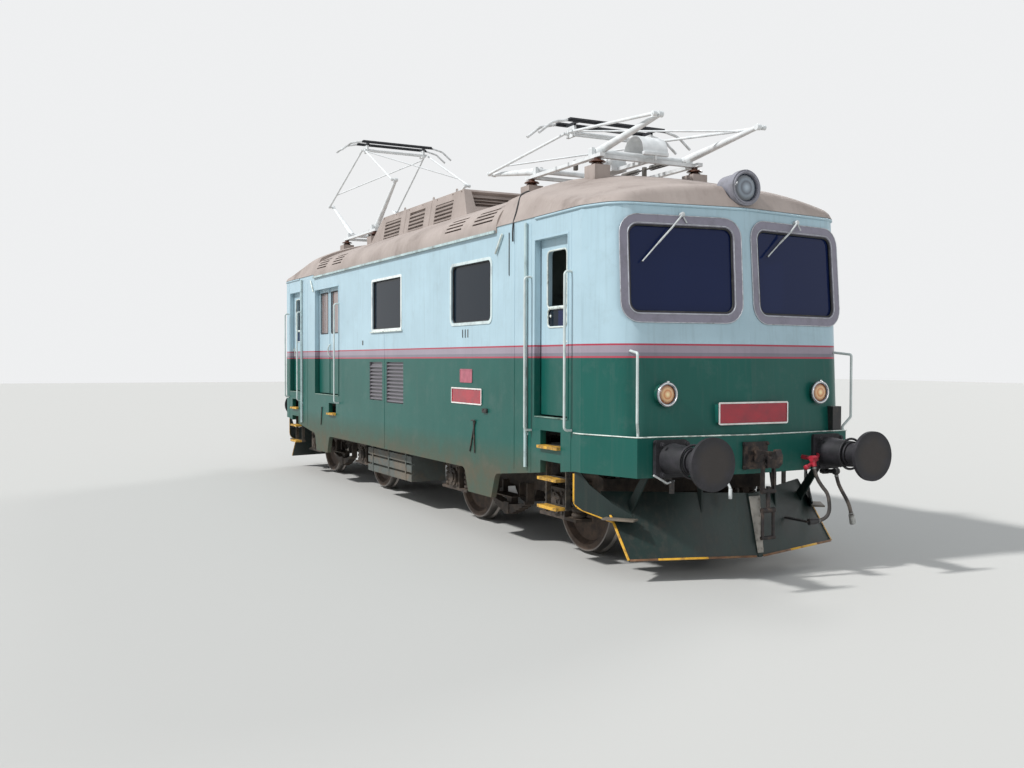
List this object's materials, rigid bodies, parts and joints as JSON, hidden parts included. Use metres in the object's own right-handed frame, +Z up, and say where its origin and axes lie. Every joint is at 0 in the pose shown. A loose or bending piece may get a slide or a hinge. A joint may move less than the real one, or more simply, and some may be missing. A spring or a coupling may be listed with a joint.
{
  "type": "electric locomotive",
  "caption": "Electric locomotive with a cab at each end, swivelling bogies, folding diamond pantographs, opening doors and screw couplings.",
  "frame": {"origin": "middle of the vehicle between the rails, at the lowest point of the wheel flanges", "axes": "+X towards the leading cab, +Y to its left, +Z up; the rail top is 28 mm above the origin"},
  "size_m": [12.6, 2.924, 5.4929],
  "materials": {
    "body_paint": "satin",
    "roof_paint": "matt",
    "frame_paint": "matt",
    "window_glass": "gloss",
    "window_frame": "satin",
    "lamp_metal": "satin",
    "buffer_steel": "satin",
    "coupling_steel": "matt",
    "plough_paint": "matt",
    "step_paint": "satin",
    "rail_paint": "satin",
    "cab_lining": "matt",
    "plant_grey": "matt",
    "cock_paint": "satin",
    "insulator_glaze": "gloss",
    "pantograph_paint": "satin",
    "bogie_iron": "matt",
    "wheel_steel": "satin",
    "hose_rubber": "matt"
  },
  "bodies": {
    "body": {"underframe": "frame_paint", "cab_shell_front": "body_paint", "cab_shell_rear": "body_paint", "side_wall_right": "body_paint", "side_wall_left": "body_paint", "mid_roof": "roof_paint", "cab_roofs": "roof_paint", "roof_hood": "roof_paint", "window_panes": "window_glass", "window_frames": "window_frame", "headlamps": "lamp_metal", "buffers": "buffer_steel", "draw_gear": "coupling_steel", "ploughs": "plough_paint", "steps": "step_paint", "handrails": "rail_paint", "gutters_and_drains": "rail_paint", "cab_fittings": "cab_lining", "machine_block": "plant_grey", "underfloor_equipment": "frame_paint", "air_cocks": "cock_paint", "roof_insulators": "insulator_glaze", "pantograph_bases": "pantograph_paint", "air_hose_a_front": "hose_rubber", "air_hose_a_rear": "hose_rubber", "air_hose_b_front": "hose_rubber", "air_hose_b_rear": "hose_rubber", "hose_head_b_front": "coupling_steel", "hose_head_b_rear": "coupling_steel"},
    "bogie_front": {"bogie_frame_front": "bogie_iron", "axle_boxes_front": "bogie_iron", "traction_motors_front": "bogie_iron", "coil_springs_front": "bogie_iron"},
    "bogie_rear": {"bogie_frame_rear": "bogie_iron", "axle_boxes_rear": "bogie_iron", "traction_motors_rear": "bogie_iron", "coil_springs_rear": "bogie_iron"},
    "wheelset_1": {"wheelset_1": "wheel_steel"},
    "wheelset_2": {"wheelset_2": "wheel_steel"},
    "wheelset_3": {"wheelset_3": "wheel_steel"},
    "wheelset_4": {"wheelset_4": "wheel_steel"},
    "cab_door_front_right": {"cab_door_front_right": "body_paint"},
    "cab_door_front_left": {"cab_door_front_left": "body_paint"},
    "cab_door_rear_right": {"cab_door_rear_right": "body_paint"},
    "cab_door_rear_left": {"cab_door_rear_left": "body_paint"},
    "service_door_right": {"service_door_right": "body_paint"},
    "service_door_second_right": {"service_door_second_right": "body_paint"},
    "service_door_left": {"service_door_left": "body_paint"},
    "service_door_second_left": {"service_door_second_left": "body_paint"},
    "lower_arm_a_front": {"lower_arm_a_front": "pantograph_paint"},
    "upper_arm_a_front": {"upper_arm_a_front": "pantograph_paint"},
    "collector_head_front": {"collector_head_front": "pantograph_paint"},
    "lower_arm_b_front": {"lower_arm_b_front": "pantograph_paint"},
    "upper_arm_b_front": {"upper_arm_b_front": "pantograph_paint"},
    "lower_arm_a_rear": {"lower_arm_a_rear": "pantograph_paint"},
    "upper_arm_a_rear": {"upper_arm_a_rear": "pantograph_paint"},
    "collector_head_rear": {"collector_head_rear": "pantograph_paint"},
    "lower_arm_b_rear": {"lower_arm_b_rear": "pantograph_paint"},
    "upper_arm_b_rear": {"upper_arm_b_rear": "pantograph_paint"}
  },
  "joints": [
    {"name": "bogie_front_swivel", "type": "hinge", "parent": "body", "child": "bogie_front", "pos_m": [2.93, 0, 0.8], "axis": [0, 0, 1], "range_deg": [-2.5, 2.5]},
    {"name": "bogie_rear_swivel", "type": "hinge", "parent": "body", "child": "bogie_rear", "pos_m": [-2.93, 0, 0.8], "axis": [0, 0, 1], "range_deg": [-2.5, 2.5]},
    {"name": "wheelset_1_roll", "type": "hinge", "parent": "bogie_front", "child": "wheelset_1", "pos_m": [4.18, 0, 0.528], "axis": [0, 1, 0], "continuous": true},
    {"name": "wheelset_2_roll", "type": "hinge", "parent": "bogie_front", "child": "wheelset_2", "pos_m": [1.68, 0, 0.528], "axis": [0, 1, 0], "continuous": true},
    {"name": "wheelset_3_roll", "type": "hinge", "parent": "bogie_rear", "child": "wheelset_3", "pos_m": [-1.68, 0, 0.528], "axis": [0, 1, 0], "continuous": true},
    {"name": "wheelset_4_roll", "type": "hinge", "parent": "bogie_rear", "child": "wheelset_4", "pos_m": [-4.18, 0, 0.528], "axis": [0, 1, 0], "continuous": true},
    {"name": "cab_door_front_right_hinge", "type": "hinge", "parent": "body", "child": "cab_door_front_right", "pos_m": [4.162, -1.2845, 2.2], "axis": [0, 0, 1], "range_deg": [0, 85]},
    {"name": "cab_door_front_left_hinge", "type": "hinge", "parent": "body", "child": "cab_door_front_left", "pos_m": [4.162, 1.2845, 2.2], "axis": [0, 0, -1], "range_deg": [0, 85]},
    {"name": "cab_door_rear_right_hinge", "type": "hinge", "parent": "body", "child": "cab_door_rear_right", "pos_m": [-4.162, -1.2845, 2.2], "axis": [0, 0, -1], "range_deg": [0, 85]},
    {"name": "cab_door_rear_left_hinge", "type": "hinge", "parent": "body", "child": "cab_door_rear_left", "pos_m": [-4.162, 1.2845, 2.2], "axis": [0, 0, 1], "range_deg": [0, 85]},
    {"name": "service_door_right_hinge", "type": "hinge", "parent": "body", "child": "service_door_right", "pos_m": [-3.314, -1.2845, 2.2], "axis": [0, 0, 1], "range_deg": [0, 85]},
    {"name": "service_door_second_right_hinge", "type": "hinge", "parent": "body", "child": "service_door_second_right", "pos_m": [-2.04, -1.2845, 2.2], "axis": [0, 0, -1], "range_deg": [0, 85]},
    {"name": "service_door_left_hinge", "type": "hinge", "parent": "body", "child": "service_door_left", "pos_m": [-3.314, 1.2845, 2.2], "axis": [0, 0, -1], "range_deg": [0, 85]},
    {"name": "service_door_second_left_hinge", "type": "hinge", "parent": "body", "child": "service_door_second_left", "pos_m": [-2.04, 1.2845, 2.2], "axis": [0, 0, 1], "range_deg": [0, 85]},
    {"name": "pantograph_front_raise", "type": "hinge", "parent": "body", "child": "lower_arm_a_front", "pos_m": [3.95, 0, 4.03], "axis": [0, -1, 0], "range_deg": [0, 53]},
    {"name": "upper_arm_a_front_knuckle", "type": "hinge", "parent": "lower_arm_a_front", "child": "upper_arm_a_front", "pos_m": [5.09143, 0, 4.17015], "axis": [0, -1, 0], "range_deg": [-96.03, 0]},
    {"name": "collector_head_front_pivot", "type": "hinge", "parent": "upper_arm_a_front", "child": "collector_head_front", "pos_m": [3.39974, 0, 4.33811], "axis": [0, -1, 0], "range_deg": [0, 43.03]},
    {"name": "lower_arm_b_front_pivot", "type": "hinge", "parent": "body", "child": "lower_arm_b_front", "pos_m": [2.75, 0, 4.03], "axis": [0, 1, 0], "range_deg": [0, 53]},
    {"name": "upper_arm_b_front_knuckle", "type": "hinge", "parent": "lower_arm_b_front", "child": "upper_arm_b_front", "pos_m": [1.60857, 0, 4.17015], "axis": [0, 1, 0], "range_deg": [-96.03, 0]},
    {"name": "pantograph_rear_raise", "type": "hinge", "parent": "body", "child": "lower_arm_a_rear", "pos_m": [-2.75, 0, 4.03], "axis": [0, -1, 0], "range_deg": [-22.5, 28.5]},
    {"name": "upper_arm_a_rear_knuckle", "type": "hinge", "parent": "lower_arm_a_rear", "child": "upper_arm_a_rear", "pos_m": [-1.76946, 0, 4.63087], "axis": [0, -1, 0], "range_deg": [-51.69, 40.83]},
    {"name": "collector_head_rear_pivot", "type": "hinge", "parent": "upper_arm_a_rear", "child": "collector_head_rear", "pos_m": [-3.30367, 0, 5.36314], "axis": [0, -1, 0], "range_deg": [-18.33, 23.19]},
    {"name": "lower_arm_b_rear_pivot", "type": "hinge", "parent": "body", "child": "lower_arm_b_rear", "pos_m": [-3.95, 0, 4.03], "axis": [0, 1, 0], "range_deg": [-22.5, 28.5]},
    {"name": "upper_arm_b_rear_knuckle", "type": "hinge", "parent": "lower_arm_b_rear", "child": "upper_arm_b_rear", "pos_m": [-4.93054, 0, 4.63087], "axis": [0, 1, 0], "range_deg": [-51.69, 40.83]}
  ],
  "couplings": [
    {"joint": "upper_arm_a_front_knuckle", "follows": "pantograph_front_raise", "ratio": -1.81},
    {"joint": "collector_head_front_pivot", "follows": "pantograph_front_raise", "ratio": 0.81},
    {"joint": "lower_arm_b_front_pivot", "follows": "pantograph_front_raise", "ratio": 1},
    {"joint": "upper_arm_b_front_knuckle", "follows": "pantograph_front_raise", "ratio": -1.81},
    {"joint": "upper_arm_a_rear_knuckle", "follows": "pantograph_rear_raise", "ratio": -1.81},
    {"joint": "collector_head_rear_pivot", "follows": "pantograph_rear_raise", "ratio": 0.81},
    {"joint": "lower_arm_b_rear_pivot", "follows": "pantograph_rear_raise", "ratio": 1},
    {"joint": "upper_arm_b_rear_knuckle", "follows": "pantograph_rear_raise", "ratio": -1.81}
  ]
}
